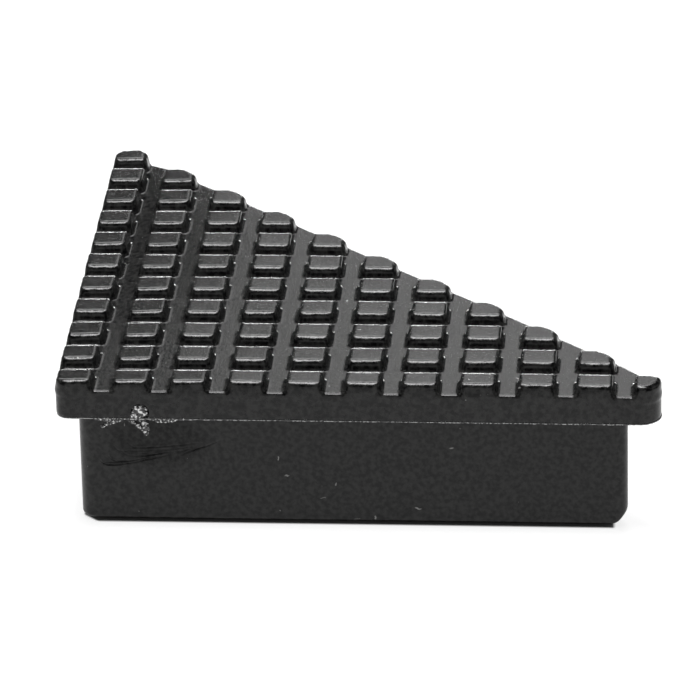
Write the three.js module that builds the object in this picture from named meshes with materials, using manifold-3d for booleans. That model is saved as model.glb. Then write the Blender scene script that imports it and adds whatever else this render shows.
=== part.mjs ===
// Triangular studded rubber door stop: a tread pad on a hollow plug body, closed below by a steel base plate.
// Three screws run up from the plate, through sleeves in the body, into inserts moulded in the pad's pegs.
// Units are millimetres, +Z is up. The origin is the middle of the bounding box at floor level.
// The right-angled corner is at the front left, one leg runs along +X (front) and the other along +Y (left).
import * as THREE from "three";
import { mergeVertices } from "three/addons/utils/BufferGeometryUtils.js";
import Module from "manifold-3d";

const wasm = await Module();
wasm.setup();

// ---- Driving dimensions ----
const STUD_ROWS = 11; // studs along each leg
const STUD_PITCH = 10;
const STUD_WIDTH = 6.9; // along X, at the stud's foot
const STUD_DEPTH = 7; // along Y, at the stud's foot
const STUD_HEIGHT = 2;
const STUD_DRAFT = 0.4; // each side leans in by this much up to the rounded top edge
const STUD_EDGE = 0.4; // size of the softened top edge
const STUD_CORNER = 0.6; // radius of a stud's upright corners
const STUD_LEFT = -0.1; // from a column's line to its studs' left sides
const STUD_FRONT = -0.75; // from a row's line to its studs' front sides
const DIAGONAL_CORNER = 3.3; // radius of the outer corner of the studs along the hypotenuse

const PAD_LEG = 110.6; // from the right-angled corner to the sharp tip, before rounding
const PAD_CORNER_RADIUS = 2.4;
const PAD_TIP_RADIUS = 3.9;
const PAD_THICKNESS = 5.25; // without the studs
const PAD_EDGE = 0.4; // softened lower edge

const BODY_INSET = 3.45; // from the pad's edge to the body's wall
const BODY_HEIGHT = 20.85;
const BODY_CORNER_RADIUS = 3;
const BODY_TIP_RADIUS = 2.2;
const BODY_EDGE = 0.5; // softened lower edge
const WALL = 3.5;
const WEB = 3; // thickness of the body's closed top
const RIB_THICKNESS = 2.5;
const RIB_HEIGHT = 11;

const PLATE_THICKNESS = 1.6;
const PLATE_INSET = 1.5; // from the body's wall to the plate's edge
const PLATE_REBATE = 1.1; // how deep the plate sits in the body's underside
const PLATE_CORNER_RADIUS = 2.5;
const PLATE_TIP_RADIUS = 2;
const KEYHOLE_HEAD_RADIUS = 4.5;
const KEYHOLE_SLOT_WIDTH = 5;
const KEYHOLE_LENGTH = 9; // between the centres of the head hole and of the slot's round end
const KEYHOLES = [
  [38, 17],
  [15, 42],
]; // centres of the head holes, from the pad's corner

const CLAMP_POINTS = [
  [19, 19],
  [66, 18],
  [18, 66],
]; // screw axes, from the pad's corner
const PEG_RADIUS = 4.5;
const PEG_LENGTH = 7;
const INSERT_RADIUS = 2.5;
const INSERT_LENGTH = 6;
const INSERT_GROOVE_DEPTH = 0.4;
const INSERT_BORE_RADIUS = 1.7;
const SLEEVE_RADIUS = 3.5;
const SLEEVE_BORE_RADIUS = 1.8;
const BOSS_WALL = 2.5;
const SCREW_RADIUS = 1.5;
const SCREW_LENGTH = 20;
const SCREW_HEAD_RADIUS = 2.9;
const SCREW_HEAD_HEIGHT = 1.4;
const SCREW_SUNK = 0.1; // depth of the head's face inside the plate
const SOCKET_RADIUS = 1.15; // across the corners of the hexagon
const SOCKET_DEPTH = 1;
const SCREW_CLEARANCE = 0.12; // round the screw in the plate
const SCREW_CHAMFER = 0.4;

const CLEARANCE = 0.3; // between pieces that fit into each other
const SNUG = 0.15; // between an insert and the rubber moulded round it
const ROUND_SEGMENTS = 32;
const OUTLINE_SEGMENTS = 8; // in each corner of the triangle
const STUD_SEGMENTS = 2; // in each upright corner of a stud

// ---- Derived places ----
const PAD_EXTENT = PAD_LEG - PAD_TIP_RADIUS * Math.SQRT2; // leg length after the tip is rounded
const CENTRE = PAD_EXTENT / 2;
const BODY_BOTTOM = PLATE_THICKNESS - PLATE_REBATE;
const BODY_TOP = BODY_BOTTOM + BODY_HEIGHT;
const PAD_TOP = BODY_TOP + PAD_THICKNESS;
const CAVITY_TOP = BODY_TOP - WEB;
const STUD_TOP = PAD_TOP + STUD_HEIGHT;
const PEG_BOTTOM = BODY_TOP - PEG_LENGTH;
const OVERSHOOT = 1; // cutters run past the faces they cut

// ---- Materials ----
const rubber = (color) => new THREE.MeshStandardMaterial({ color, roughness: 0.5, metalness: 0 });
const padRubber = rubber(0x2b2b2c);
const bodyRubber = rubber(0x222223);
const plateSteel = new THREE.MeshStandardMaterial({ color: 0x3a332e, roughness: 0.55, metalness: 0.8 });
const zincSteel = new THREE.MeshStandardMaterial({ color: 0xb9bcc0, roughness: 0.35, metalness: 1 });
const brass = new THREE.MeshStandardMaterial({ color: 0xb5923f, roughness: 0.35, metalness: 1 });

// ---- Solids ----
// A manifold solid from a closed three.js geometry.
function solid(geometry) {
  const bare = geometry.clone();
  bare.deleteAttribute("normal");
  bare.deleteAttribute("uv");
  const merged = mergeVertices(bare, 1e-4);
  return new wasm.Manifold(
    new wasm.Mesh({
      numProp: 3,
      vertProperties: new Float32Array(merged.attributes.position.array),
      triVerts: new Uint32Array(merged.index.array),
    }),
  );
}

// A three.js geometry from a manifold solid.
function geometryOf(body) {
  const mesh = body.getMesh();
  const geometry = new THREE.BufferGeometry();
  geometry.setAttribute("position", new THREE.BufferAttribute(mesh.vertProperties, 3));
  geometry.setIndex(new THREE.BufferAttribute(mesh.triVerts, 1));
  geometry.computeVertexNormals();
  return geometry;
}

// A closed skin through a stack of outlines that all have the same number of points.
// Each level is {z, points}, from the lowest to the highest; the points run anticlockwise.
function loft(levels) {
  const count = levels[0].points.length;
  const positions = levels.flatMap(({ z, points }) => points.flatMap((p) => [p.x, p.y, z]));
  const faces = [];
  for (let level = 0; level + 1 < levels.length; level++) {
    for (let i = 0; i < count; i++) {
      const a = level * count + i;
      const b = level * count + ((i + 1) % count);
      faces.push(a, b, b + count, a, b + count, a + count);
    }
  }
  const last = (levels.length - 1) * count;
  for (const [a, b, c] of THREE.ShapeUtils.triangulateShape(levels[0].points, [])) faces.push(c, b, a);
  for (const [a, b, c] of THREE.ShapeUtils.triangulateShape(levels.at(-1).points, [])) {
    faces.push(last + a, last + b, last + c);
  }
  const geometry = new THREE.BufferGeometry();
  geometry.setAttribute("position", new THREE.Float32BufferAttribute(positions, 3));
  geometry.setIndex(faces);
  return solid(geometry);
}

// A solid of revolution about the upright axis through the plan point [u, v].
// The profile lists [radius, z] from the bottom of the axis round to its top.
function turned(profile, [u, v]) {
  const geometry = new THREE.LatheGeometry(
    profile.map(([radius, z]) => new THREE.Vector2(radius, z)),
    ROUND_SEGMENTS,
  );
  geometry.rotateX(Math.PI / 2); // the lathe's Y axis becomes Z
  geometry.translate(u - CENTRE, v - CENTRE, 0);
  return solid(geometry);
}

const rod = (point, radius, low, high) => turned([[0, low], [radius, low], [radius, high], [0, high]], point);

// ---- Plan outlines, in the part's frame ----
// A polygon with each corner rounded by its own radius. Corners are [u, v, radius], anticlockwise.
function roundedOutline(corners, segments) {
  return corners.flatMap(([u, v, radius], i) => {
    const corner = new THREE.Vector2(u - CENTRE, v - CENTRE);
    const [beforeU, beforeV] = corners.at(i - 1);
    const [afterU, afterV] = corners[(i + 1) % corners.length];
    const back = new THREE.Vector2(beforeU - u, beforeV - v).normalize();
    const ahead = new THREE.Vector2(afterU - u, afterV - v).normalize();
    const half = Math.acos(back.dot(ahead)) / 2;
    const bisector = back.clone().add(ahead).normalize();
    const centre = corner.clone().addScaledVector(bisector, radius / Math.sin(half));
    const first = corner.clone().addScaledVector(back, radius / Math.tan(half)).sub(centre);
    const sweep = Math.PI - 2 * half;
    return Array.from({ length: segments + 1 }, (_, step) =>
      first.clone().rotateAround(new THREE.Vector2(), (sweep * step) / segments).add(centre),
    );
  });
}

// The right-angled triangle, moved in from the pad's faces by inset.
function triangle(inset, cornerRadius, tipRadius) {
  const tip = PAD_LEG - inset * (1 + Math.SQRT2);
  return roundedOutline(
    [
      [inset, inset, cornerRadius],
      [tip, inset, tipRadius],
      [inset, tip, tipRadius],
    ],
    OUTLINE_SEGMENTS,
  );
}

// A triangular prism, with a softened lower edge where edge is given.
function prism(inset, cornerRadius, tipRadius, low, high, edge = 0) {
  const outline = (extra) => triangle(inset + extra, cornerRadius, tipRadius);
  const levels = [
    { z: low + edge, points: outline(0) },
    { z: high, points: outline(0) },
  ];
  if (edge > 0) levels.unshift({ z: low, points: outline(edge) });
  return loft(levels);
}

// ---- Tread pad ----
// One drafted stud with a softened top edge; its outer corner is round along the hypotenuse.
// The first column and the first row start at the pad's face.
function stud(column, row) {
  const left = column === 0 ? 0 : column * STUD_PITCH + STUD_LEFT;
  const front = row === 0 ? 0 : row * STUD_PITCH + STUD_FRONT;
  const right = column * STUD_PITCH + STUD_LEFT + STUD_WIDTH;
  const back = row * STUD_PITCH + STUD_FRONT + STUD_DEPTH;
  const outer = column + row === STUD_ROWS - 1 ? DIAGONAL_CORNER : STUD_CORNER;
  const outline = (inset) =>
    roundedOutline(
      [
        [left + inset, front + inset, STUD_CORNER],
        [right - inset, front + inset, STUD_CORNER],
        [right - inset, back - inset, outer],
        [left + inset, back - inset, STUD_CORNER],
      ],
      STUD_SEGMENTS,
    );
  return loft([
    { z: PAD_TOP - OVERSHOOT, points: outline(0) },
    { z: PAD_TOP, points: outline(0) },
    { z: STUD_TOP - STUD_EDGE, points: outline(STUD_DRAFT) },
    { z: STUD_TOP, points: outline(STUD_DRAFT + STUD_EDGE) },
  ]);
}

function studs() {
  const all = [];
  for (let column = 0; column < STUD_ROWS; column++) {
    for (let row = 0; row < STUD_ROWS - column; row++) all.push(stud(column, row));
  }
  return all.reduce((sum, next) => sum.add(next));
}

// The outline of an insert, or of the socket it sits in when grown.
function insertSolid(point, grow) {
  const groove = INSERT_RADIUS - INSERT_GROOVE_DEPTH;
  const third = INSERT_LENGTH / 3;
  const radius = INSERT_RADIUS + grow;
  const bottom = PEG_BOTTOM;
  return turned(
    [
      [0, bottom],
      [radius, bottom],
      [radius, bottom + third + grow],
      [groove + grow, bottom + third + grow],
      [groove + grow, bottom + 2 * third - grow],
      [radius, bottom + 2 * third - grow],
      [radius, bottom + INSERT_LENGTH + grow],
      [0, bottom + INSERT_LENGTH + grow],
    ],
    point,
  );
}

function treadPad() {
  const slab = prism(0, PAD_CORNER_RADIUS, PAD_TIP_RADIUS, BODY_TOP, PAD_TOP, PAD_EDGE);
  const outline = prism(0, PAD_CORNER_RADIUS, PAD_TIP_RADIUS, BODY_TOP, STUD_TOP + OVERSHOOT, PAD_EDGE);
  let pad = slab.add(studs().intersect(outline));
  for (const point of CLAMP_POINTS) {
    pad = pad.add(rod(point, PEG_RADIUS, PEG_BOTTOM, BODY_TOP + OVERSHOOT));
    pad = pad.subtract(insertSolid(point, SNUG));
  }
  return pad;
}

// ---- Plug body ----
// An upright rib between two plan points, hanging from the web.
function rib([u0, v0], [u1, v1]) {
  const geometry = new THREE.BoxGeometry(Math.hypot(u1 - u0, v1 - v0), RIB_THICKNESS, RIB_HEIGHT);
  geometry.rotateZ(Math.atan2(v1 - v0, u1 - u0));
  geometry.translate((u0 + u1) / 2 - CENTRE, (v0 + v1) / 2 - CENTRE, BODY_TOP - OVERSHOOT - RIB_HEIGHT / 2);
  return solid(geometry);
}

function plugBody() {
  const outer = prism(
    BODY_INSET, BODY_CORNER_RADIUS, BODY_TIP_RADIUS, BODY_BOTTOM, BODY_TOP, BODY_EDGE,
  );
  const cavityInset = BODY_INSET + WALL;
  const cavity = prism(
    cavityInset, BODY_CORNER_RADIUS, BODY_TIP_RADIUS, BODY_BOTTOM - OVERSHOOT, CAVITY_TOP,
  );
  const rebate = prism(
    BODY_INSET + PLATE_INSET - CLEARANCE, PLATE_CORNER_RADIUS, PLATE_TIP_RADIUS,
    BODY_BOTTOM - OVERSHOOT, PLATE_THICKNESS,
  );
  const wallLine = BODY_INSET + WALL / 2;
  const hypotenuseMiddle = (PAD_LEG - wallLine * Math.SQRT2) / 2;
  let body = outer
    .subtract(cavity)
    .subtract(rebate)
    .add(rib([wallLine, wallLine], [hypotenuseMiddle, hypotenuseMiddle]))
    .add(rib([CLAMP_POINTS[1][0], wallLine], CLAMP_POINTS[1]))
    .add(rib([wallLine, CLAMP_POINTS[2][1]], CLAMP_POINTS[2]));
  for (const point of CLAMP_POINTS) {
    body = body.add(rod(point, PEG_RADIUS + CLEARANCE + BOSS_WALL, PLATE_THICKNESS, BODY_TOP));
  }
  for (const point of CLAMP_POINTS) {
    body = body.subtract(rod(point, PEG_RADIUS + CLEARANCE, PEG_BOTTOM - CLEARANCE, BODY_TOP + OVERSHOOT));
    body = body.subtract(rod(point, SLEEVE_RADIUS + CLEARANCE, PLATE_THICKNESS - OVERSHOOT, PEG_BOTTOM));
  }
  return body;
}

// ---- Base plate ----
// A round head hole with a slot running from it along +X, for a fixing screw's head and shank.
function keyholeCutter([u, v]) {
  const slot = new THREE.BoxGeometry(KEYHOLE_LENGTH, KEYHOLE_SLOT_WIDTH, PLATE_THICKNESS + 2 * OVERSHOOT);
  slot.translate(u + KEYHOLE_LENGTH / 2 - CENTRE, v - CENTRE, PLATE_THICKNESS / 2);
  const low = -OVERSHOOT;
  const high = PLATE_THICKNESS + OVERSHOOT;
  return rod([u, v], KEYHOLE_HEAD_RADIUS, low, high)
    .add(solid(slot))
    .add(rod([u + KEYHOLE_LENGTH, v], KEYHOLE_SLOT_WIDTH / 2, low, high));
}

// A countersunk hole, wide below, that leaves room round the screw.
function countersinkCutter(point) {
  const head = SCREW_HEAD_RADIUS + SCREW_CLEARANCE;
  const shank = SCREW_RADIUS + SCREW_CLEARANCE;
  return turned(
    [
      [0, -OVERSHOOT],
      [head, -OVERSHOOT],
      [head, SCREW_SUNK],
      [shank, SCREW_SUNK + SCREW_HEAD_HEIGHT],
      [shank, PLATE_THICKNESS + OVERSHOOT],
      [0, PLATE_THICKNESS + OVERSHOOT],
    ],
    point,
  );
}

function basePlate() {
  const inset = BODY_INSET + PLATE_INSET;
  let plate = prism(inset, PLATE_CORNER_RADIUS, PLATE_TIP_RADIUS, 0, PLATE_THICKNESS);
  for (const point of CLAMP_POINTS) plate = plate.subtract(countersinkCutter(point));
  for (const point of KEYHOLES) plate = plate.subtract(keyholeCutter(point));
  return plate;
}

// ---- Hardware ----
// A countersunk machine screw, head down, with a hexagon socket.
function clampScrew(point) {
  const neck = SCREW_SUNK + SCREW_HEAD_HEIGHT;
  const tip = SCREW_SUNK + SCREW_LENGTH;
  const blank = turned(
    [
      [0, SCREW_SUNK],
      [SCREW_HEAD_RADIUS, SCREW_SUNK],
      [SCREW_RADIUS, neck],
      [SCREW_RADIUS, tip - SCREW_CHAMFER],
      [SCREW_RADIUS - SCREW_CHAMFER, tip],
      [0, tip],
    ],
    point,
  );
  const socket = new THREE.CylinderGeometry(SOCKET_RADIUS, SOCKET_RADIUS, SOCKET_DEPTH + OVERSHOOT, 6);
  socket.rotateX(Math.PI / 2);
  socket.translate(point[0] - CENTRE, point[1] - CENTRE, SCREW_SUNK + (SOCKET_DEPTH - OVERSHOOT) / 2);
  return blank.subtract(solid(socket));
}

function threadedInsert(point) {
  return insertSolid(point, 0).subtract(
    rod(point, INSERT_BORE_RADIUS, PEG_BOTTOM - OVERSHOOT, PEG_BOTTOM + INSERT_LENGTH + OVERSHOOT),
  );
}

function spacerSleeve(point) {
  return rod(point, SLEEVE_RADIUS, PLATE_THICKNESS, PEG_BOTTOM).subtract(
    rod(point, SLEEVE_BORE_RADIUS, 0, BODY_TOP),
  );
}

// ---- Assembly ----
const doorStop = new THREE.Group();

function place(name, body, material) {
  const mesh = new THREE.Mesh(geometryOf(body), material);
  mesh.name = name;
  doorStop.add(mesh);
}

place("tread_pad", treadPad(), padRubber);
place("plug_body", plugBody(), bodyRubber);
place("base_plate", basePlate(), plateSteel);
CLAMP_POINTS.forEach((point, i) => {
  place(`threaded_insert_${i + 1}`, threadedInsert(point), brass);
  place(`spacer_sleeve_${i + 1}`, spacerSleeve(point), zincSteel);
  place(`clamp_screw_${i + 1}`, clampScrew(point), zincSteel);
});

export default doorStop;
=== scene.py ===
"""A triangular studded rubber door stop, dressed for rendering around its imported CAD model.

The rubber parts are sculpted as signed distance fields in millimetres: u runs from the right-angled
corner along the front leg (+X), v along the left leg (+Y) and z up from the floor. Each field is turned
into a mesh by a surface net. The steel and brass pieces stay as the CAD made them, with new materials.
"""

import math

import bpy
import numpy as np
from mathutils import Euler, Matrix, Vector


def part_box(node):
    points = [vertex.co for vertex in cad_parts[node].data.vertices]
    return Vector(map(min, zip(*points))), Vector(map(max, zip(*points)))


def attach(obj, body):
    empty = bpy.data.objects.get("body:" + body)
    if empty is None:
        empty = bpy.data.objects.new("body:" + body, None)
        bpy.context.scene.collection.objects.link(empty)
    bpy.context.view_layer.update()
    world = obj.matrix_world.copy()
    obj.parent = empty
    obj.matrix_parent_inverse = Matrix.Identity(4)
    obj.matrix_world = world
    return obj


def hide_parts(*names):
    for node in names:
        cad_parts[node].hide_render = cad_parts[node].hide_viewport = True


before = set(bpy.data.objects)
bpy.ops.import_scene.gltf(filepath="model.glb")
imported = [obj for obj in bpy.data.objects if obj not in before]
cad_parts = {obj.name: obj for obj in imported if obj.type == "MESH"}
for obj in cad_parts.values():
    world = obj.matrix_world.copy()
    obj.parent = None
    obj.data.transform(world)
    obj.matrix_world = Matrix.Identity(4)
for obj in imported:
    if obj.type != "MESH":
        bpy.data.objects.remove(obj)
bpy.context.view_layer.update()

MM = 0.001
SQRT2 = math.sqrt(2)

# ---- Sizes taken from the frame, in millimetres ----
PAD_LOW, PAD_HIGH = (Vector(corner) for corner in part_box("tread_pad"))
BODY_LOW, BODY_HIGH = (Vector(corner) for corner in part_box("plug_body"))
PLATE_LOW, PLATE_HIGH = (Vector(corner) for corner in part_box("base_plate"))
EXTENT = (PAD_HIGH.x - PAD_LOW.x) / MM
STUD_TOP = PAD_HIGH.z / MM
PEG_BOTTOM = PAD_LOW.z / MM
BODY_TOP = BODY_HIGH.z / MM
BODY_BOTTOM = BODY_LOW.z / MM
BODY_INSET = (BODY_LOW.x - PAD_LOW.x) / MM
PLATE_TOP = PLATE_HIGH.z / MM
PLATE_INSET = (PLATE_LOW.x - PAD_LOW.x) / MM

# ---- Sizes that the CAD shares ----
TIP_RADIUS = 3.9
CORNER_RADIUS = 2.4
LEG = EXTENT + TIP_RADIUS * SQRT2  # from the right-angled corner to the sharp tip
STUD_ROWS = 11
PITCH = 10
STUD_SIZE = (6.9, 7.0)  # along u and v at the foot
STUD_START = (-0.1, -0.75)  # from a column's and a row's line to its studs' left and front sides
STUD_HEIGHT = 2
PAD_TOP = STUD_TOP - STUD_HEIGHT


# ---- Distance fields ----
def round_meet(a, b, radius):
    """The space inside both a and b, with a round edge where they meet."""
    return np.minimum(np.maximum(a, b), -radius) + np.hypot(
        np.maximum(a + radius, 0), np.maximum(b + radius, 0)
    )


def fillet_join(a, b, radius):
    """The space inside a or b, with a hollow fillet where they meet."""
    return np.maximum(np.minimum(a, b), radius) - np.hypot(
        np.maximum(radius - a, 0), np.maximum(radius - b, 0)
    )


def even_triangle(u, v, inset, radius):
    """Plan distance to the triangle moved in by inset, with this radius on all its corners."""
    start = inset + radius
    tip = LEG - start * (1 + SQRT2)
    corners = [(start, start), (tip, start), (start, tip)]
    nearest = np.inf
    beyond = -np.inf
    for (u0, v0), (u1, v1) in zip(corners, corners[1:] + corners[:1]):
        along_u, along_v = u1 - u0, v1 - v0
        length = math.hypot(along_u, along_v)
        du, dv = u - u0, v - v0
        share = np.clip((du * along_u + dv * along_v) / length**2, 0, 1)
        nearest = np.minimum(nearest, np.hypot(du - along_u * share, dv - along_v * share))
        beyond = np.maximum(beyond, (du * along_v - dv * along_u) / length)
    return np.where(beyond > 0, nearest, beyond) - radius


def triangle(u, v, inset, corner_radius, tip_radius):
    """The same, with one radius at the right-angled corner and another at the two tips."""
    near_corner = even_triangle(u, v, inset, corner_radius)
    near_tips = even_triangle(u, v, inset, tip_radius)
    return np.where(u + v < LEG / 2, near_corner, near_tips)


def rounded_box(u, v, half_u, half_v, radius):
    """Plan distance to a rectangle round the origin; radius may differ from point to point."""
    du = np.abs(u) - half_u + radius
    dv = np.abs(v) - half_v + radius
    outside = np.hypot(np.maximum(du, 0), np.maximum(dv, 0))
    return outside + np.minimum(np.maximum(du, dv), 0) - radius


def blob(u, v, z, middle, sizes):
    """Roughly the distance to an ellipsoid."""
    places = [(place - centre) / size for place, centre, size in zip((u, v, z), middle, sizes)]
    return (np.sqrt(sum(place**2 for place in places)) - 1) * min(sizes)


def strand(u, v, z, start, end, radius):
    """Distance to a straight strand with round ends."""
    start, end = np.array(start), np.array(end)
    along = end - start
    run = (u - start[0]) * along[0] + (v - start[1]) * along[1] + (z - start[2]) * along[2]
    share = np.clip(run / (along @ along), 0, 1)
    gaps = [place - a - share * b for place, a, b in zip((u, v, z), start, along)]
    return np.sqrt(sum(gap**2 for gap in gaps)) - radius


# ---- From a field to a mesh ----
CUBE = np.array([(i, j, k) for i in (0, 1) for j in (0, 1) for k in (0, 1)])
CUBE_EDGES = [(a, b) for a in range(8) for b in range(a, 8) if abs(CUBE[a] - CUBE[b]).sum() == 1]


def axis(*stretches):
    """Grid places along one axis. Each stretch is (start, end, step) and the stretches follow on."""
    parts = [np.arange(start, end, step) for start, end, step in stretches]
    last_end = stretches[-1][1]
    return np.concatenate(parts + [[last_end]]).astype(np.float32)


def grid(*axes):
    """Sparse u, v and z coordinate arrays over three axes."""
    return np.meshgrid(*axes, indexing="ij", sparse=True)


def surface_net(field, axes):
    """Vertices and quads of the surface where the field changes sign. Each mixed cell has one vertex."""
    inside = field < 0
    counts = np.array(field.shape) - 1
    corner_views = [
        inside[tuple(slice(c, c + n) for c, n in zip(corner, counts))] for corner in CUBE
    ]
    mixed = np.logical_or.reduce(corner_views) & ~np.logical_and.reduce(corner_views)
    cells = np.argwhere(mixed)
    values = [field[tuple((cells + corner).T)] for corner in CUBE]
    total = np.zeros((len(cells), 3))
    crossings = np.zeros(len(cells))
    for a, b in CUBE_EDGES:
        crossed = (values[a] < 0) != (values[b] < 0)
        share = np.where(crossed, values[a] / np.where(crossed, values[a] - values[b], 1), 0)
        total += crossed[:, None] * (CUBE[a] + share[:, None] * (CUBE[b] - CUBE[a]))
        crossings += crossed
    places = (cells + total / crossings[:, None]).T
    columns = [np.interp(place, np.arange(len(line)), line) for place, line in zip(places, axes)]
    vertices = np.stack(columns, axis=1)
    number = np.full(mixed.shape, -1)
    number[mixed] = np.arange(len(cells))
    quads = []
    for first in range(3):  # the edges along each axis in turn, each ringed by four cells
        order = (first, (first + 1) % 3, (first + 2) % 3)
        turned = np.moveaxis(inside, order, (0, 1, 2))
        before = turned[:-1, 1:-1, 1:-1]
        after = turned[1:, 1:-1, 1:-1]
        numbers = np.moveaxis(number, order, (0, 1, 2))
        i, j, k = np.nonzero(before != after)
        steps = ((0, 0), (1, 0), (1, 1), (0, 1))
        ring = np.stack([numbers[i, j + step_j, k + step_k] for step_j, step_k in steps], axis=1)
        outward = before[i, j, k]
        ring[~outward] = ring[~outward][:, ::-1]
        quads.append(ring)
    return vertices, np.concatenate(quads)


def to_row(points):
    """Millimetres from the pad's corner at floor level to metres in the row frame."""
    return np.asarray(points) * MM + np.array([PAD_LOW.x, PAD_LOW.y, 0])


def mesh_object(name, vertices, faces, material):
    """A smooth-shaded piece that rides the root body and stays inside the CAD outline."""
    mesh = bpy.data.meshes.new(name)
    kept_in = np.clip(vertices, 0, (EXTENT, EXTENT, STUD_TOP))
    mesh.from_pydata(to_row(kept_in).tolist(), [], np.asarray(faces).tolist())
    mesh.polygons.foreach_set("use_smooth", np.ones(len(mesh.polygons), bool))
    mesh.materials.append(material)
    piece = bpy.data.objects.new(name, mesh)
    bpy.context.collection.objects.link(piece)
    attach(piece, "root")
    return piece


# ---- Unevenness ----
def smooth_step(value, start, end):
    """0 up to start and 1 from end on, with a soft climb between."""
    share = np.clip((value - start) / (end - start), 0, 1)
    return share * share * (3 - 2 * share)


def ripple(a, b, length, seed):
    """Smooth unevenness from -1 to 1 over two coordinates, with hills about length apart."""
    dice = np.random.default_rng(seed)
    total = 0
    for _ in range(5):
        angle, phase = dice.uniform(0, 2 * math.pi, 2)
        stretch = length * dice.uniform(0.7, 1.6)
        along = a * math.cos(angle) + b * math.sin(angle)
        total = total + np.sin(along * 2 * math.pi / stretch + phase)
    return total / 5


def crumble(u, v, z, size, seed):
    """Ragged lumps from -1 to 1 in three coordinates, with lumps about size apart."""
    dice = np.random.default_rng(seed)
    total = 0
    for octave in range(3):
        for _ in range(4):
            way = dice.normal(size=3)
            way *= 2 * math.pi * 2**octave / size / np.linalg.norm(way)
            wave = np.sin(u * way[0] + v * way[1] + z * way[2] + dice.uniform(0, 2 * math.pi))
            total = total + (1 - 2 * np.abs(wave)) / 2**octave
    return total / 7


# ---- Tread pad ----
PAD_GRID = 0.25
PEG_GRID = 0.5
PAD_SHRINK = 0.12  # leaves room inside the CAD outline for the flash along the lower edge
PAD_RIM = 0.5
PAD_LOWER_RIM = 0.45
PAD_BOW = 0.6  # how far the sloping edge bulges out
PAD_BOW_RISE = (35, 80)  # the bulge grows between these u
PAD_BOW_FADE = 7  # and dies away over this length, 1 mm short of the right tip
TIP_DROOP = 0.15
TIP_DROOP_START = 0.84 * EXTENT
PAD_WAVE = 0.03
PAD_WAVE_LENGTH = 38
STUD_DRAFT = 0.4  # how far each side leans in from foot to top
STUD_EDGE = 1.0  # rounding of the front and rear top edges
STUD_SIDE_EDGE = 0.35
DIAGONAL_EDGE = 0.95
STUD_CORNER = 0.9
DIAGONAL_CORNER = 4.2  # plan radius of the outer corner of the studs along the sloping edge
STUD_FILLET = 0.4
STUD_ROOT = 1  # how far each stud reaches down into the slab
STUD_WOBBLE = 0.05  # unevenness of the studs' sides
STUD_WOBBLE_LENGTH = 1.8
STUD_SHRINK_SPREAD = 0.1
STUD_TILT_SPREAD = 0.012
STUD_HEIGHT_SPREAD = 0.06
STUD_SHIFT_SPREAD = 0.06
STUD_REACH = 1.5  # how far round a stud its field still matters
PEG_RADIUS = 4.5
SOCKET_RADIUS = 2.65
SOCKET_DEPTH = 6.15
COLUMN_TILTS = (0.028, 0.034, 0.008)  # sideways slopes of the stud tops in the first columns
CHANNEL_TILTS = ((0.01, 0.2), (0.015, 0.045), (0, 0.01))  # front and rear floor slopes, first channels
CHANNEL_TILT_CHANGE = (15, 75)  # the v between which the front slope turns into the rear slope
BITE = (14.9, 0, 22.4)  # u, v, z of the hollow left by the torn moulding gate
BITE_SIZE = (1.7, 0.9, 1.8)


def pad_sag(u, v):
    """How far the moulding has sunk: a drooping right tip and slow waves."""
    tip = TIP_DROOP * smooth_step(u, TIP_DROOP_START, EXTENT)
    return tip + PAD_WAVE * (1 + ripple(u, v, PAD_WAVE_LENGTH, 3))


def channel_sag(u, v):
    """The first channels' floors slope down towards the studs on their left, more so at the rear."""
    total = 0
    to_rear = smooth_step(v, *CHANNEL_TILT_CHANGE)
    for column, (front_slope, rear_slope) in enumerate(CHANNEL_TILTS):
        left = column * PITCH + STUD_START[0] + STUD_SIZE[0]
        right = (column + 1) * PITCH + STUD_START[0] + 0.3  # just under the next stud's foot
        slope = front_slope + (rear_slope - front_slope) * to_rear
        under_stud = smooth_step(u, left - 1.2, left - 0.4)  # the floor climbs back under the left stud
        total = total + slope * np.clip(right - u, 0, right - left) * under_stud
    return total


def stud_sides(index, start, size):
    """Where a stud starts and ends across the pad. The first row and column start at the pad's face."""
    low = 0 if index == 0 else index * PITCH + start
    return low, index * PITCH + start + size


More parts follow.
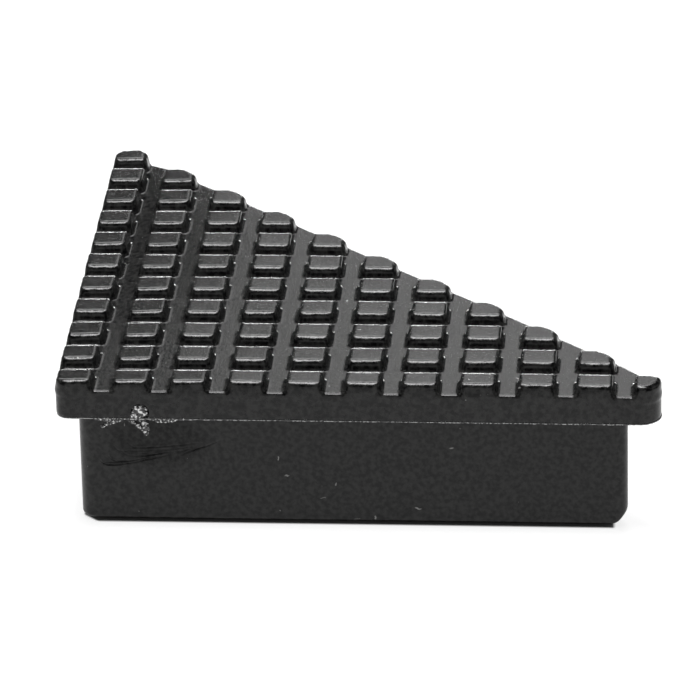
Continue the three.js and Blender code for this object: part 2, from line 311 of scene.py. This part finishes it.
def stud_distance(u, v, z, plan, column, row, dice):
    """One stud, a little uneven in size, height and place."""
    left, right = stud_sides(column, STUD_START[0], STUD_SIZE[0])
    front, back = stud_sides(row, STUD_START[1], STUD_SIZE[1])
    shrink_u, shrink_v = dice.uniform(0, STUD_SHRINK_SPREAD, 2)
    tilt_u, tilt_v = dice.uniform(-STUD_TILT_SPREAD, STUD_TILT_SPREAD, 2)
    column_tilt = COLUMN_TILTS[column] if column < len(COLUMN_TILTS) else 0
    tilt_u += column_tilt
    top = STUD_TOP - dice.uniform(0, STUD_HEIGHT_SPREAD) - column_tilt * (right - left) / 2
    du = u - (left + right) / 2 - dice.uniform(-STUD_SHIFT_SPREAD, STUD_SHIFT_SPREAD)
    dv = v - (front + back) / 2 - dice.uniform(-STUD_SHIFT_SPREAD, STUD_SHIFT_SPREAD)
    lean = STUD_DRAFT * (z - PAD_TOP) / STUD_HEIGHT
    on_diagonal = column + row == STUD_ROWS - 1
    outer = DIAGONAL_CORNER if on_diagonal else STUD_CORNER
    corner = np.where((du > 0) & (dv > 0), outer, STUD_CORNER)
    half_u = (right - left) / 2 - shrink_u - lean
    half_v = (back - front) / 2 - shrink_v - lean
    sides = rounded_box(du, dv, half_u, half_v, corner)
    sides = sides + STUD_WOBBLE * ripple(u, v, STUD_WOBBLE_LENGTH, column)
    front_or_rear = smooth_step((np.abs(dv) - half_v) - (np.abs(du) - half_u), -0.5, 0.5)
    edge = STUD_SIDE_EDGE + (STUD_EDGE - STUD_SIDE_EDGE) * front_or_rear
    if on_diagonal:
        edge = np.where(du + dv > 0, DIAGONAL_EDGE, edge)
    cap = z - top - tilt_u * du - tilt_v * dv
    return np.maximum(round_meet(np.maximum(sides, plan), cap, edge), PAD_TOP - STUD_ROOT - z)


def window(axes, low, high):
    """The slices of the grid between two corners."""
    return tuple(
        slice(*np.searchsorted(line, (start, end))) for line, start, end in zip(axes, low, high)
    )


def add_studs(field, axes, plan, z):
    """Joins every stud to the field, each in its own small window of the grid."""
    dice = np.random.default_rng(7)
    for column in range(STUD_ROWS):
        for row in range(STUD_ROWS - column):
            left, right = stud_sides(column, STUD_START[0], STUD_SIZE[0])
            front, back = stud_sides(row, STUD_START[1], STUD_SIZE[1])
            low = (left - STUD_REACH, front - STUD_REACH, 0)
            high = (right + STUD_REACH, back + STUD_REACH, math.inf)
            part = window(axes, low, high)
            u, v, _ = grid(axes[0][part[0]], axes[1][part[1]], axes[2][:1])
            stud = stud_distance(u, v, z[part], plan[part[:2]], column, row, dice)
            field[part] = fillet_join(field[part], stud, STUD_FILLET)


def clamp_points():
    """The plan places of the three clamp screws, in millimetres from the pad's corner."""
    points = []
    for number in (1, 2, 3):
        low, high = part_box(f"clamp_screw_{number}")
        points.append(tuple((low[k] + high[k]) / 2 / MM - PAD_LOW[k] / MM for k in (0, 1)))
    return points


def tread_pad(material):
    """The slab with its studs, and the three hollow pegs that hang from it."""
    margin = 2 * PAD_GRID
    across = axis((-margin, EXTENT + margin, PAD_GRID))
    upward = axis(
        (PEG_BOTTOM - 1, BODY_TOP - 0.5, PEG_GRID),
        (BODY_TOP - 0.5, STUD_TOP + margin, PAD_GRID),
    )
    axes = (across, across, upward)
    u, v, height = grid(*axes)
    bow = PAD_BOW * smooth_step(u, *PAD_BOW_RISE) * smooth_step(EXTENT - 1 - u, 0, PAD_BOW_FADE)
    on_slope = smooth_step(u + v, LEG * 0.8, LEG * 0.95)
    plan = triangle(u, v, PAD_SHRINK, CORNER_RADIUS, TIP_RADIUS) - bow * on_slope * smooth_step(v, 1, 5)
    z = height + pad_sag(u, v)
    slab = round_meet(plan, z + channel_sag(u, v) - PAD_TOP, PAD_RIM)
    field = round_meet(slab, BODY_TOP - height, PAD_LOWER_RIM)
    add_studs(field, axes, plan, z)
    for point_u, point_v in clamp_points():
        off_axis = np.hypot(u - point_u, v - point_v)
        peg = np.maximum(off_axis - PEG_RADIUS, np.maximum(PEG_BOTTOM - height, height - BODY_TOP - 1))
        socket = np.maximum(off_axis - SOCKET_RADIUS, height - PEG_BOTTOM - SOCKET_DEPTH)
        field = np.maximum(np.minimum(field, peg), -socket)
    field = np.maximum(field, -blob(u, v, height, BITE, BITE_SIZE))
    vertices, quads = surface_net(field, axes)
    piece = mesh_object("moulded_tread_pad", vertices, quads, material)
    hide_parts("tread_pad")


# ---- Torn gate and flash ----
SCAR_GRID = 0.09
SCAR_CRUMBLE = 0.34  # depth of the ragged lumps
SCAR_CRUMBLE_SIZE = 1.3
SCAR_FRONT = 0.03  # the nearest v that the torn rubber reaches
FLASH_INSET = 0.3
FLASH_SPACING = 0.2
FLASH_SIDES = 8
FLASH_LIFT = 0.05  # height of the bead's middle over the plug body's top
FLASH_REACH = 0.27  # the most that the bead stands out from its path
FLASH_SMOOTHING = 5  # stations over which the bead's fine raggedness is averaged
FLASH_GATE = (15, 0)  # u and v round which the bead is thicker
FLASH_GATE_SIZE = (7, 3)
BEND_STEP = 7.5  # degrees between points round the pad's corners


def gate_scar(material):
    """The torn stub of the moulding gate, flakes that hang under it and shreds of flash beside it."""
    axes = tuple(axis((start, end, SCAR_GRID)) for start, end in ((6, 24), (0, 2.4), (17.5, 25)))
    u, v, z = grid(*axes)
    parts = [
        blob(u, v, z, (14.9, 0.75, 22.8), (1.3, 0.75, 1.25)),
        blob(u, v, z, (14.2, 0.75, 21.9), (1.3, 0.65, 0.7)),
        blob(u, v, z, (15.8, 0.9, 19.3), (0.55, 0.5, 1.15)),
        blob(u, v, z, (15.3, 1.0, 20.9), (0.5, 0.5, 1.0)),
        blob(u, v, z, (10.2, 0.7, 21.0), (1.4, 0.5, 0.42)),
        blob(u, v, z, (19.2, 0.7, 21.0), (1.6, 0.5, 0.35)),
        strand(u, v, z, (12.6, 0.7, 21.3), (15.6, 0.9, 18.9), 0.26),
        strand(u, v, z, (8.2, 0.8, 19.6), (10.6, 0.6, 20.6), 0.16),
        strand(u, v, z, (7.2, 0.6, 21.2), (12.8, 0.6, 21.3), 0.2),
        strand(u, v, z, (16.6, 0.5, 21.3), (22.6, 0.5, 21.4), 0.2),
    ]
    field = parts[0]
    for part in parts[1:]:
        field = np.minimum(field, part)
    lumps = SCAR_CRUMBLE * crumble(u, v, z, SCAR_CRUMBLE_SIZE, 21)
    field = np.maximum(field + lumps, SCAR_FRONT - v)
    vertices, quads = surface_net(field, axes)
    mesh_object("gate_scar", vertices, quads, material)


def edge_path(inset, spacing):
    """Plan points with outward directions along the pad's rounded triangle, moved in by inset."""
    corners = [
        (inset + CORNER_RADIUS, inset + CORNER_RADIUS, CORNER_RADIUS, 180, 270),
        (EXTENT - inset - TIP_RADIUS, inset + TIP_RADIUS, TIP_RADIUS, 270, 405),
        (inset + TIP_RADIUS, EXTENT - inset - TIP_RADIUS, TIP_RADIUS, 45, 180),
    ]
    bends = []
    for middle_u, middle_v, radius, start, end in corners:
        angles = np.radians(np.arange(start, end + 1, BEND_STEP))
        out_u, out_v = np.cos(angles), np.sin(angles)
        places = [middle_u + radius * out_u, middle_v + radius * out_v]
        bends.append(np.stack([*places, out_u, out_v], axis=1))
    loop = np.concatenate(bends + [bends[0][:1]])
    lengths = np.concatenate([[0], np.cumsum(np.hypot(*np.diff(loop[:, :2], axis=0).T))])
    stations = np.arange(0, lengths[-1], spacing)
    return np.stack([np.interp(stations, lengths, loop[:, k]) for k in range(4)], axis=1)


def seam_flash(material):
    """A thin ragged bead of flash along the lower edge of the pad."""
    path = edge_path(FLASH_INSET, FLASH_SPACING)
    count = len(path)
    along = np.arange(count) * FLASH_SPACING
    dice = np.random.default_rng(5)
    rough = dice.uniform(-1, 1, count + FLASH_SMOOTHING - 1)
    fine = np.convolve(rough, np.ones(FLASH_SMOOTHING) / FLASH_SMOOTHING, "valid") * 1.6
    swell = np.clip(0.55 + 0.5 * ripple(along, 0, 26, 8) + 0.7 * fine, 0.12, 1.25)
    from_gate = (path[:, :2] - FLASH_GATE) / FLASH_GATE_SIZE
    near_gate = np.exp(-(from_gate[:, 0] ** 2) - from_gate[:, 1] ** 2)
    half_width = 0.12 + 0.07 * swell * (1 + 0.9 * near_gate)
    half_height = 0.15 + 0.08 * swell * (1 + 1.6 * near_gate)
    rows = []
    for side in range(FLASH_SIDES):
        angle = 2 * math.pi * side / FLASH_SIDES
        out = np.minimum(half_width * math.cos(angle), FLASH_REACH)
        lift = half_height * math.sin(angle)
        beside = [path[:, 0] + path[:, 2] * out, path[:, 1] + path[:, 3] * out]
        rows.append(np.stack([*beside, BODY_TOP + FLASH_LIFT + lift], axis=1))
    vertices = np.stack(rows, axis=1).reshape(-1, 3)
    quads = []
    for station in range(count):
        here = station * FLASH_SIDES
        ahead = (station + 1) % count * FLASH_SIDES
        for side in range(FLASH_SIDES):
            next_side = (side + 1) % FLASH_SIDES
            quads.append((here + side, ahead + side, ahead + next_side, here + next_side))
    mesh_object("seam_flash", vertices, quads, material)


# ---- Plug body ----
BODY_GRID = 0.35
BODY_UP_GRID = 0.25
WALL_GRID = 0.13  # the finer grid of the wrinkled part of the front wall
WRINKLED_END = 34  # that part's right end
WRINKLED_HEIGHTS = (9, 18)
BODY_SHRINK = 0.05
BODY_CORNER_RADIUS = 3
BODY_TIP_RADIUS = 2.2
BODY_RIM = 0.7
WALL_WAVE = 0.06
WALL_WAVE_LENGTH = 45
PLATE_CORNER_RADIUS = 2.5
PLATE_TIP_RADIUS = 2
PLATE_GAP = 0.3
PEG_GAP = 0.3
TIP_CUT = 2.2  # how far the lower corner of each tip is cut back
TIP_CUT_EDGE = 0.6
WALL = 3.5
WEB = 3
BOSS_RADIUS = 7.3
PEG_HOLE_RADIUS = 4.8
SLEEVE_HOLE_RADIUS = 3.8
RIB_HALF = 1.25
RIB_BOTTOM = BODY_TOP - 12
OVERLAP = 1  # how far ribs and bosses run up into the web
WRINKLE_WIDTH = 0.12
WRINKLES = [  # left end, height of the low point, rise to the right, depth
    (7.0, 10.9, 0.105, 0.32),
    (8.6, 11.6, 0.10, 0.25),
    (11.0, 12.7, 0.075, 0.24),
    (12.0, 14.3, 0.05, 0.18),
    (9.5, 13.6, 0.04, 0.15),
]
FAR_WRINKLE_DEPTH = 0.2


def rib_distance(u, v, z, start, end):
    """An upright rib between two plan points, hanging from the web."""
    along = np.array(end) - np.array(start)
    length = math.hypot(*along)
    along = along / length
    du, dv = u - start[0], v - start[1]
    run = du * along[0] + dv * along[1]
    off = np.abs(du * along[1] - dv * along[0])
    plan = np.maximum(off - RIB_HALF, np.abs(run - length / 2) - length / 2)
    return np.maximum(plan, RIB_BOTTOM - z)


def crease(u, z, left, low, rise):
    """A furrow with a ridge above it, that drops from left to its low point, then climbs slowly."""
    line = low + rise * np.maximum(u - left - 2.5, 0) ** 1.3 + 0.5 * np.maximum(left + 1.6 - u, 0) ** 2
    ends = smooth_step(u, left - 0.2, left + 0.8) * (1 - smooth_step(u, left + 8, left + 16))
    off = (z - line + 0.1 * ripple(u, z, 2.5, 14)) / WRINKLE_WIDTH
    furrow = np.exp(-(off**2)) - 0.7 * np.exp(-((off - 1.7) ** 2))
    return ends * (0.65 + 0.35 * ripple(u, z, 4, 31)) * furrow


def wall_marks(u, v, z):
    """Depth of the fine wrinkles in the front wall near its left end."""
    front = 1 - smooth_step(v, BODY_INSET + 1, BODY_INSET + 2)
    marks = 0
    for left, low, rise, depth in WRINKLES:
        marks = marks + depth * crease(u, z, left, low, rise)
    wander = 0.25 * ripple(u, 0, 5, 2)
    off_line = z - 13.2 - 0.42 * (u - 22) + wander
    far = np.exp(-((off_line / WRINKLE_WIDTH) ** 2)) * smooth_step(u, 20.5, 23.5)
    marks = marks + FAR_WRINKLE_DEPTH * far * (1 - smooth_step(u, 24.5, 30))
    return front * marks


def plug_body(material):
    """The hollow body: walls, web, ribs and bosses, with a rebate round the steel plate below."""
    first = BODY_INSET - 2 * WALL_GRID
    last = EXTENT - BODY_INSET + 2 * BODY_GRID
    skin_end = BODY_INSET + 1
    low, high = WRINKLED_HEIGHTS
    along = axis((first, WRINKLED_END, WALL_GRID), (WRINKLED_END, last, BODY_GRID))
    inward = axis((first, skin_end, WALL_GRID), (skin_end, last, BODY_GRID))
    upward = axis(
        (BODY_BOTTOM - 0.4, low, BODY_UP_GRID),
        (low, high, WALL_GRID),
        (high, BODY_TOP + 0.5, BODY_UP_GRID),
    )
    axes = (along, inward, upward)
    u, v, z = grid(*axes)
    wave = WALL_WAVE * (1 + ripple(u + v, z, WALL_WAVE_LENGTH, 11))
    wall = triangle(u, v, BODY_INSET + BODY_SHRINK, BODY_CORNER_RADIUS, BODY_TIP_RADIUS) + wave
    reach = LEG - BODY_INSET * (1 + SQRT2) - BODY_TIP_RADIUS * SQRT2
    cut = TIP_CUT - (z - BODY_BOTTOM)
    wall = round_meet(wall, (np.maximum(u, v) - reach + cut) / SQRT2, TIP_CUT_EDGE)
    wall = wall + wall_marks(u, v, z)
    outer = np.maximum(round_meet(wall, BODY_BOTTOM - z, BODY_RIM), z - BODY_TOP)
    plate = triangle(u, v, PLATE_INSET - PLATE_GAP, PLATE_CORNER_RADIUS, PLATE_TIP_RADIUS)
    rebate = np.maximum(plate, z - PLATE_TOP)
    inner = triangle(u, v, BODY_INSET + WALL, BODY_CORNER_RADIUS, BODY_TIP_RADIUS)
    field = np.maximum(np.maximum(outer, -rebate), -np.maximum(inner, z - BODY_TOP + WEB))
    points = clamp_points()
    line = BODY_INSET + WALL / 2  # the middle of the legs' walls
    middle = (LEG - line * SQRT2) / 2
    ribs = [
        ((line, line), (middle, middle)),
        ((points[1][0], line), points[1]),
        ((line, points[2][1]), points[2]),
    ]
    top = z - BODY_TOP + OVERLAP
    for start, end in ribs:
        field = np.minimum(field, np.maximum(rib_distance(u, v, z, start, end), top))
    for point_u, point_v in points:
        off_axis = np.hypot(u - point_u, v - point_v)
        field = np.minimum(field, np.maximum(np.maximum(off_axis - BOSS_RADIUS, PLATE_TOP - z), top))
        field = np.maximum(field, -np.maximum(off_axis - PEG_HOLE_RADIUS, PEG_BOTTOM - PEG_GAP - z))
        field = np.maximum(field, SLEEVE_HOLE_RADIUS - off_axis)
    vertices, quads = surface_net(field, axes)
    piece = mesh_object("moulded_plug_body", vertices, quads, material)
    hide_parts("plug_body")


# ---- Materials ----
RUBBER_DARK = (0.0008, 0.0008, 0.0009)
RUBBER_PALE = (0.0155, 0.0155, 0.015)
DUST = (0.2, 0.2, 0.195)
RUBBER_SPECULAR = 0.25
TORN_DARK = (0.03, 0.03, 0.03)
GATE_BLUSH = (PAD_LOW.x / MM + 17.5, PAD_LOW.y / MM + BODY_INSET, 15.5)  # the dull oval below the gate
GATE_BLUSH_SIZE = (9, 3, 5)
GATE_BLUSH_ROUGHNESS = 0.6
# dark phosphated steel, darkened further as painted shade for the shadow under the body's overhang
STEEL_AND_PAINTED_SHADE_COLOUR = (0.022, 0.017, 0.014)
ZINC_COLOUR = (0.62, 0.62, 0.63)
BRASS_COLOUR = (0.6, 0.44, 0.18)
NOISE_SPREAD = (0.3, 0.7)  # most noise values lie between these
MOTTLE_SPREAD = (0.38, 0.62)  # narrower, for more contrast


def principled(name, **values):
    """A material with its Principled shader's sockets set."""
    material = bpy.data.materials.new(name)
    material.use_nodes = True
    shader = material.node_tree.nodes["Principled BSDF"]
    for socket, value in values.items():
        shader.inputs[socket.replace("_", " ")].default_value = value
    return material, material.node_tree, shader


def node(tree, kind, **settings):
    """Adds a shader node. Settings whose name is a socket set that socket, the others set the node."""
    made = tree.nodes.new("ShaderNode" + kind)
    for name, value in settings.items():
        socket = made.inputs.get(name.replace("_", " ").title())
        if socket is None:
            setattr(made, name, value)
        else:
            socket.default_value = value
    return made


def millimetres(tree):
    """Object coordinates in millimetres."""
    place = node(tree, "TexCoord")
    scaled = node(tree, "VectorMath", operation="SCALE", scale=1000)
    tree.links.new(place.outputs["Object"], scaled.inputs[0])
    return scaled.outputs["Vector"]


def noise(tree, place, per_mm, detail=2.0):
    """Soft patches from 0 to 1, about per_mm of them in a millimetre."""
    made = node(tree, "TexNoise", scale=per_mm, detail=detail)
    tree.links.new(place, made.inputs["Vector"])
    return made.outputs["Fac"]


def remap(tree, value, low, high, to_low, to_high):
    """Stretches the span from low to high over the span from to_low to to_high, and holds its ends."""
    made = node(tree, "MapRange", from_min=low, from_max=high, to_min=to_low, to_max=to_high)
    tree.links.new(value, made.inputs["Value"])
    return made.outputs["Result"]


def bump(tree, height, depth, strength, normal=None):
    """Roughens the normal by a height from 0 to 1 that stands for this depth in millimetres."""
    made = node(tree, "Bump", strength=strength, distance=depth * MM)
    tree.links.new(height, made.inputs["Height"])
    if normal is not None:
        tree.links.new(normal, made.inputs["Normal"])
    return made.outputs["Normal"]


def combine(tree, operation, first, second):
    """One value worked out from two, for example their product."""
    made = node(tree, "Math", operation=operation)
    tree.links.new(first, made.inputs[0])
    tree.links.new(second, made.inputs[1])
    return made.outputs["Value"]


def chosen_specks(tree, place, per_mm, share, size):
    """1 inside small round specks, 0 elsewhere. Only this share of the cells has a speck."""
    cells = node(tree, "TexVoronoi", scale=per_mm)
    tree.links.new(place, cells.inputs["Vector"])
    inside = remap(tree, cells.outputs["Distance"], size, size * 1.6, 1, 0)
    split = node(tree, "SeparateColor")
    tree.links.new(cells.outputs["Color"], split.inputs["Color"])
    few = remap(tree, split.outputs["Red"], 1 - share, 1 - share + 0.01, 0, 1)
    return combine(tree, "MULTIPLY", inside, few)


def stretched(tree, place, factors):
    """Coordinates scaled differently along each axis, so that specks turn into short fibres."""
    made = node(tree, "VectorMath", operation="MULTIPLY")
    made.inputs[1].default_value = factors
    tree.links.new(place, made.inputs[0])
    return made.outputs["Vector"]


def warped(tree, place, per_mm, amount):
    """Coordinates shifted about by noise, so that straight marks curl."""
    shift = node(tree, "TexNoise", scale=per_mm)
    tree.links.new(place, shift.inputs["Vector"])
    scaled = node(tree, "VectorMath", operation="SCALE", scale=amount)
    tree.links.new(shift.outputs["Color"], scaled.inputs[0])
    total = node(tree, "VectorMath", operation="ADD")
    tree.links.new(place, total.inputs[0])
    tree.links.new(scaled.outputs["Vector"], total.inputs[1])
    return total.outputs["Vector"]


def oval_share(tree, place, middle, sizes):
    """1 inside an ellipsoid in the row frame, in millimetres, fading to 0 outside it."""
    offset = node(tree, "VectorMath", operation="SUBTRACT")
    offset.inputs[1].default_value = middle
    tree.links.new(place, offset.inputs[0])
    shrunk = stretched(tree, offset.outputs["Vector"], [1 / size for size in sizes])
    length = node(tree, "VectorMath", operation="LENGTH")
    tree.links.new(shrunk, length.inputs[0])
    return remap(tree, length.outputs["Value"], 0.8, 1.1, 1, 0)


def blend(tree, share, first, second):
    """A colour between first and second, by share. First is a colour or another node's output."""
    mix = node(tree, "Mix", data_type="RGBA")
    if isinstance(first, bpy.types.NodeSocket):
        tree.links.new(first, mix.inputs["A"])
    else:
        mix.inputs["A"].default_value = (*first, 1)
    mix.inputs["B"].default_value = (*second, 1)
    tree.links.new(share, mix.inputs["Factor"])
    return mix.outputs["Result"]


def rubber(name, rough_low, rough_high, grain, lint):
    """Black moulding rubber with fine grain, dust and pale lint, which is in this share of places."""
    material, tree, shader = principled(name, Specular_IOR_Level=RUBBER_SPECULAR)
    place = millimetres(tree)
    patchy = remap(tree, noise(tree, place, 2, 4), *NOISE_SPREAD, rough_low, rough_high)
    dull = node(tree, "Mix", data_type="FLOAT")
    tree.links.new(oval_share(tree, place, GATE_BLUSH, GATE_BLUSH_SIZE), dull.inputs["Factor"])
    tree.links.new(patchy, dull.inputs["A"])
    dull.inputs["B"].default_value = GATE_BLUSH_ROUGHNESS
    tree.links.new(dull.outputs["Result"], shader.inputs["Roughness"])
    waves = bump(tree, noise(tree, place, 0.35), depth=0.08, strength=0.3)
    pores = bump(tree, noise(tree, place, 1.8), depth=0.05, strength=0.45, normal=waves)
    fine = bump(tree, noise(tree, place, 4.5, 3), depth=0.03, strength=grain, normal=pores)
    tree.links.new(fine, shader.inputs["Normal"])
    dust = chosen_specks(tree, place, per_mm=0.8, share=0.05, size=0.05)
    curled = warped(tree, place, per_mm=0.7, amount=1.6)
    for factors in ((0.35, 0.35, 1.2), (1.2, 1.2, 0.4)):
        fibres = stretched(tree, curled, factors)
        fibres = chosen_specks(tree, fibres, per_mm=0.5, share=lint, size=0.07)
        dust = combine(tree, "MAXIMUM", dust, fibres)
    mottle = remap(tree, noise(tree, place, 1.1, 5), *MOTTLE_SPREAD, 0, 1)
    clean = blend(tree, mottle, RUBBER_DARK, RUBBER_PALE)
    tree.links.new(blend(tree, dust, clean, DUST), shader.inputs["Base Color"])
    return material


def torn_rubber_painted_glints(name, glint_from, pale, glint_below):
    """Glossy torn rubber with pale patches, partly stress whitening and partly painted glints (painted
    highlight), only where its normal's Z is below a limit.
    """
    material, tree, shader = principled(name, Specular_IOR_Level=0.5, Roughness=0.2)
    place = millimetres(tree)
    facets = bump(tree, noise(tree, place, 4, 3), depth=0.2, strength=0.8)
    tree.links.new(facets, shader.inputs["Normal"])
    # painted highlight: the pale patches stand in for glints, chosen by noise and by the way the surface
    # faces
    patches = remap(tree, noise(tree, place, 2.2, 2), glint_from, glint_from + 0.06, 0, 1)
    facing = node(tree, "SeparateXYZ")
    tree.links.new(node(tree, "NewGeometry").outputs["Normal"], facing.inputs["Vector"])
    glint_facing = remap(tree, facing.outputs["Z"], glint_below, glint_below + 0.3, 1, 0)
    patches = combine(tree, "MULTIPLY", patches, glint_facing)
    tree.links.new(blend(tree, patches, TORN_DARK, (pale, pale, pale)), shader.inputs["Base Color"])
    return material


def metal(name, colour, rough_low, rough_high, per_mm, metallic=1):
    """Metal whose gloss and colour vary in soft patches, with fine marks in the surface."""
    material, tree, shader = principled(name, Metallic=metallic)
    place = millimetres(tree)
    patches = noise(tree, place, per_mm, 4)
    roughness = remap(tree, patches, *NOISE_SPREAD, rough_low, rough_high)
    tree.links.new(roughness, shader.inputs["Roughness"])
    darker = tuple(0.7 * part for part in colour)
    tree.links.new(blend(tree, patches, darker, colour), shader.inputs["Base Color"])
    marks = bump(tree, noise(tree, place, 6, 3), depth=0.03, strength=0.3)
    tree.links.new(marks, shader.inputs["Normal"])
    return material


def dress_hardware():
    """Gives the pieces that stay as the CAD made them their steel, zinc and brass."""
    finishes = {  # name, colour, lowest and highest roughness, patches per millimetre, metallic
        # the plate's colour is partly painted shade
        "base_plate": metal("phosphated_steel_painted_shade", STEEL_AND_PAINTED_SHADE_COLOUR, 0.45, 0.65, 0.3, 0.4),
        "spacer_sleeve": metal("zinc_plated_sleeve", ZINC_COLOUR, 0.25, 0.4, 0.6),
        "clamp_screw": metal("zinc_plated_screw", ZINC_COLOUR, 0.2, 0.35, 0.8),
        "threaded_insert": metal("turned_brass", BRASS_COLOUR, 0.25, 0.4, 0.8),
    }
    for name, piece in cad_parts.items():
        for start, finish in finishes.items():
            if name.startswith(start):
                piece.data.materials[0] = finish


# ---- Stage ----
CAMERA_LENS = 302.3
CAMERA_ANGLES = (4.27, 24.43, -1.12)  # azimuth, elevation and roll in degrees
CAMERA_AIM = (-0.00446, -0.00671, 0.0141)
CAMERA_DISTANCE = 1.0572
FLOOR_HALF = 6
FLOOR_GREY = (0.25, 0.25, 0.25, 1)
FLOOR_GLOW = 0.82
GLOW_FADE = 0.6  # millimetres over which the floor's glow fades out beneath the part
WORLD_STRENGTH = 0.07
LAMP_TARGET = (0, 0, 0.02)
SOFTBOXES = [  # name, azimuth and elevation in degrees, distance, width, depth, radiance
    ("overhead", 225, 84, 1.0, 0.32, 0.5, 26),
    ("upper", -3, 55, 1.5, 0.8, 0.85, 6),
    ("behind", -0.3, 27, 3.0, 0.61, 0.7, 1.55),
    ("horizon", -3, 5, 1.6, 0.6, 0.1, 26),
    ("front", 180, 16, 2.0, 1.6, 1.1, 0.8),
    ("left", 270, 25, 2.0, 1.6, 0.9, 0.6),
    ("right", 90, 25, 2.0, 1.6, 0.9, 0.6),
]


def camera():
    """A long lens from the front, a little to the right and above."""
    data = bpy.data.cameras.new("camera")
    data.lens = CAMERA_LENS
    data.sensor_width = 36
    data.clip_start = 0.01
    data.clip_end = 100
    holder = bpy.data.objects.new("camera", data)
    azimuth, elevation, roll = (math.radians(angle) for angle in CAMERA_ANGLES)
    across = math.cos(elevation)
    back = Vector((math.sin(azimuth) * across, -math.cos(azimuth) * across, math.sin(elevation)))
    holder.location = Vector(CAMERA_AIM) + back * CAMERA_DISTANCE
    turn = Euler((0, 0, azimuth)).to_matrix()
    nod = Euler((math.pi / 2 - elevation, 0, 0)).to_matrix()
    lean = Euler((0, 0, roll)).to_matrix()
    holder.rotation_euler = (turn @ nod @ lean).to_euler()
    bpy.context.collection.objects.link(holder)
    bpy.context.scene.camera = holder


def floor():
    """A floor that glows nearly white, which hides the part's shadow, but not beneath the part."""
    mesh = bpy.data.meshes.new("floor")
    signs = ((-1, -1), (1, -1), (1, 1), (-1, 1))
    corners = [(side * FLOOR_HALF, end * FLOOR_HALF, 0) for side, end in signs]
    mesh.from_pydata(corners, [], [(0, 1, 2, 3)])
    material, tree, shader = principled(
        "floor_white",
        Base_Color=FLOOR_GREY,
        Roughness=0.9,
        Specular_IOR_Level=0,
        Emission_Color=(1, 1, 1, 1),
    )
    split = node(tree, "SeparateXYZ")
    tree.links.new(millimetres(tree), split.inputs["Vector"])
    x, y = split.outputs["X"], split.outputs["Y"]
    total = combine(tree, "ADD", x, y)
    left, front = BODY_LOW.x / MM, BODY_LOW.y / MM
    corner = left + front
    slope = corner + LEG - BODY_INSET * (2 + SQRT2)
    tip = BODY_HIGH.x / MM - TIP_CUT
    limits = [  # what is limited, where the limit's fade starts and ends, and the shares there
        (x, left + 0.2, left + 0.6, 0, 1),
        (x, tip - GLOW_FADE, tip, 1, 0),
        (y, front - GLOW_FADE / 2, front + GLOW_FADE / 2, 0, 1),
        (y, tip - GLOW_FADE, tip, 1, 0),
        (total, corner + 2.6, corner + 3.4, 0, 1),
        (total, slope - GLOW_FADE, slope, 1, 0),
    ]
    beneath = remap(tree, *limits[0])
    for limit in limits[1:]:
        beneath = combine(tree, "MULTIPLY", beneath, remap(tree, *limit))
    glow = remap(tree, beneath, 0, 1, FLOOR_GLOW, 0)
    tree.links.new(glow, shader.inputs["Emission Strength"])
    mesh.materials.append(material)
    ground = bpy.data.objects.new("floor", mesh)
    bpy.context.collection.objects.link(ground)


def softbox(name, azimuth, elevation, distance, width, depth, radiance):
    """A rectangular lamp of this brightness. Azimuth 0 is straight behind the part, 180 in front."""
    data = bpy.data.lights.new(name, "AREA")
    data.shape = "RECTANGLE"
    data.size = width
    data.size_y = depth
    data.energy = radiance * math.pi * width * depth
    lamp = bpy.data.objects.new(name, data)
    across = distance * math.cos(math.radians(elevation))
    lamp.location = (
        across * math.sin(math.radians(azimuth)),
        across * math.cos(math.radians(azimuth)),
        distance * math.sin(math.radians(elevation)),
    )
    lamp.rotation_euler = (Vector(LAMP_TARGET) - lamp.location).to_track_quat("-Z", "Y").to_euler()
    bpy.context.collection.objects.link(lamp)


def light():
    """A faint white world and the softboxes."""
    world = bpy.data.worlds.new("studio")
    world.use_nodes = True
    background = world.node_tree.nodes["Background"]
    background.inputs["Color"].default_value = (1, 1, 1, 1)
    background.inputs["Strength"].default_value = WORLD_STRENGTH
    bpy.context.scene.world = world
    for settings in SOFTBOXES:
        softbox(*settings)
    bpy.context.scene.view_settings.view_transform = "Standard"


camera()
floor()
light()
pad_rubber = rubber("pad_rubber", rough_low=0.12, rough_high=0.26, grain=0.35, lint=0.03)
body_rubber = rubber("body_rubber", rough_low=0.28, rough_high=0.4, grain=0.35, lint=0.13)
# the gate scar and the flash bead carry pale painted glints (painted highlight) besides stress whitening
torn = torn_rubber_painted_glints("torn_rubber_painted_glints", glint_from=0.54, pale=0.7, glint_below=0.9)
flash = torn_rubber_painted_glints("flash_rubber_painted_glints", glint_from=0.48, pale=0.35, glint_below=-0.1)
tread_pad(pad_rubber)
gate_scar(torn)
seam_flash(flash)
plug_body(body_rubber)
dress_hardware()
